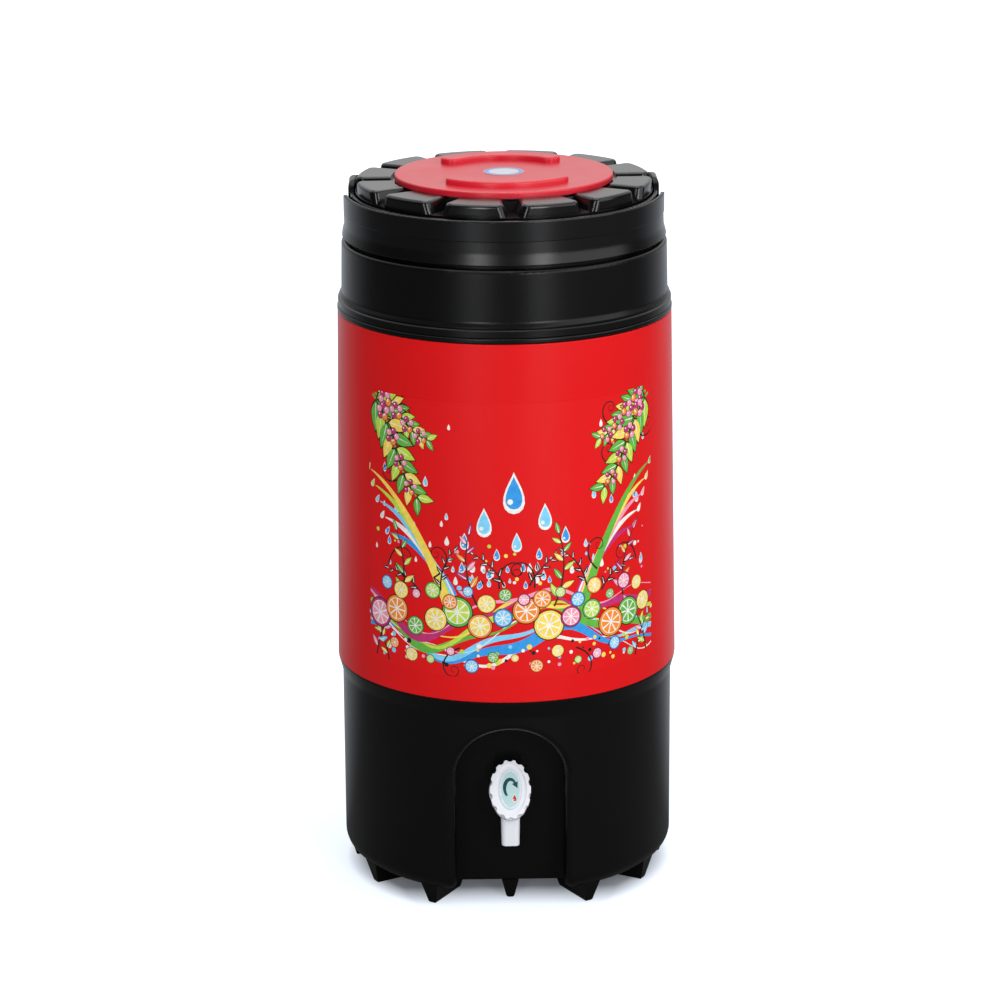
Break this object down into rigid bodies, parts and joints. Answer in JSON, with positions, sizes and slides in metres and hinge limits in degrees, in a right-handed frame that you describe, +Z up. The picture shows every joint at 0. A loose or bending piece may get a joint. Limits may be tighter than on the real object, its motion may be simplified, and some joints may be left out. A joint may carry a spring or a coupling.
{
  "type": "insulated water jug",
  "caption": "Tall round insulated water jug with a lobed lid, a red filler cap, a folding band handle and a quarter-turn tap in an arched recess.",
  "frame": {"origin": "On the floor under the jug's axis, at the middle of the bottom of its bounding box.", "axes": "+Z is up along the jug's axis, the tap and its recess face -Y, and +X is to the right of someone who looks at the tap."},
  "size_m": [0.2793, 0.2794, 0.5878],
  "materials": {
    "black_moulding": "glossy moulded polypropylene",
    "black_gloss": "high-gloss moulded plastic",
    "black_handle": "glossy moulded polypropylene",
    "red_sleeve": "glossy plastic",
    "red_cap": "glossy moulded plastic",
    "printed_film": "printed film",
    "white_liner": "food-grade polypropylene",
    "foam": "rigid insulating foam",
    "white_nylon": "natural nylon",
    "white_tap": "white polypropylene",
    "grey_rubber": "silicone rubber"
  },
  "bodies": {
    "jug": {"base_shell": "black_moulding", "foam_plug": "black_moulding", "outer_shell": "red_sleeve", "front_label": "printed_film", "shoulder_collar": "black_moulding", "inner_liner": "white_liner", "insulation_foam": "foam", "handle_pivot_pins": "black_handle", "handle_washers": "white_nylon", "tap_body": "white_tap", "tap_bonnet": "white_tap", "tap_gasket": "grey_rubber", "tap_washer": "grey_rubber", "tap_nut": "white_tap"},
    "handle": {"carry_handle": "black_handle"},
    "lid_ring": {"lid_gasket": "grey_rubber"},
    "lid": {"lid_cap": "black_gloss", "lid_inner_plate": "white_liner", "lid_foam": "foam"},
    "cap_ring": {"cap_seal": "grey_rubber"},
    "cap": {"filler_cap": "red_cap", "cap_foam": "foam", "cap_inner_plate": "white_liner", "cap_sticker": "printed_film"},
    "knob": {"tap_knob": "white_tap", "knob_sticker": "printed_film", "tap_valve": "white_nylon", "tap_o_ring": "grey_rubber"}
  },
  "joints": [
    {"name": "handle_swing", "type": "hinge", "parent": "jug", "child": "handle", "pos_m": [0, 0.02, 0.5465], "axis": [-1, 0, 0], "range_deg": [0, 175]},
    {"name": "lid_lift", "type": "slide", "parent": "jug", "child": "lid_ring", "axis": [0, 0, 1], "range_m": [0, 0.09]},
    {"name": "lid_turn", "type": "hinge", "parent": "lid_ring", "child": "lid", "pos_m": [0, 0, 0.55], "axis": [0, 0, 1], "range_deg": [0, 360]},
    {"name": "cap_lift", "type": "slide", "parent": "lid", "child": "cap_ring", "axis": [0, 0, 1], "range_m": [0, 0.06]},
    {"name": "cap_turn", "type": "hinge", "parent": "cap_ring", "child": "cap", "pos_m": [0, 0, 0.58], "axis": [0, 0, 1], "range_deg": [0, 360]},
    {"name": "knob_turn", "type": "hinge", "parent": "jug", "child": "knob", "pos_m": [0, -0.1085, 0.0926], "axis": [0, 0.809, -0.5878], "range_deg": [0, 90]}
  ]
}
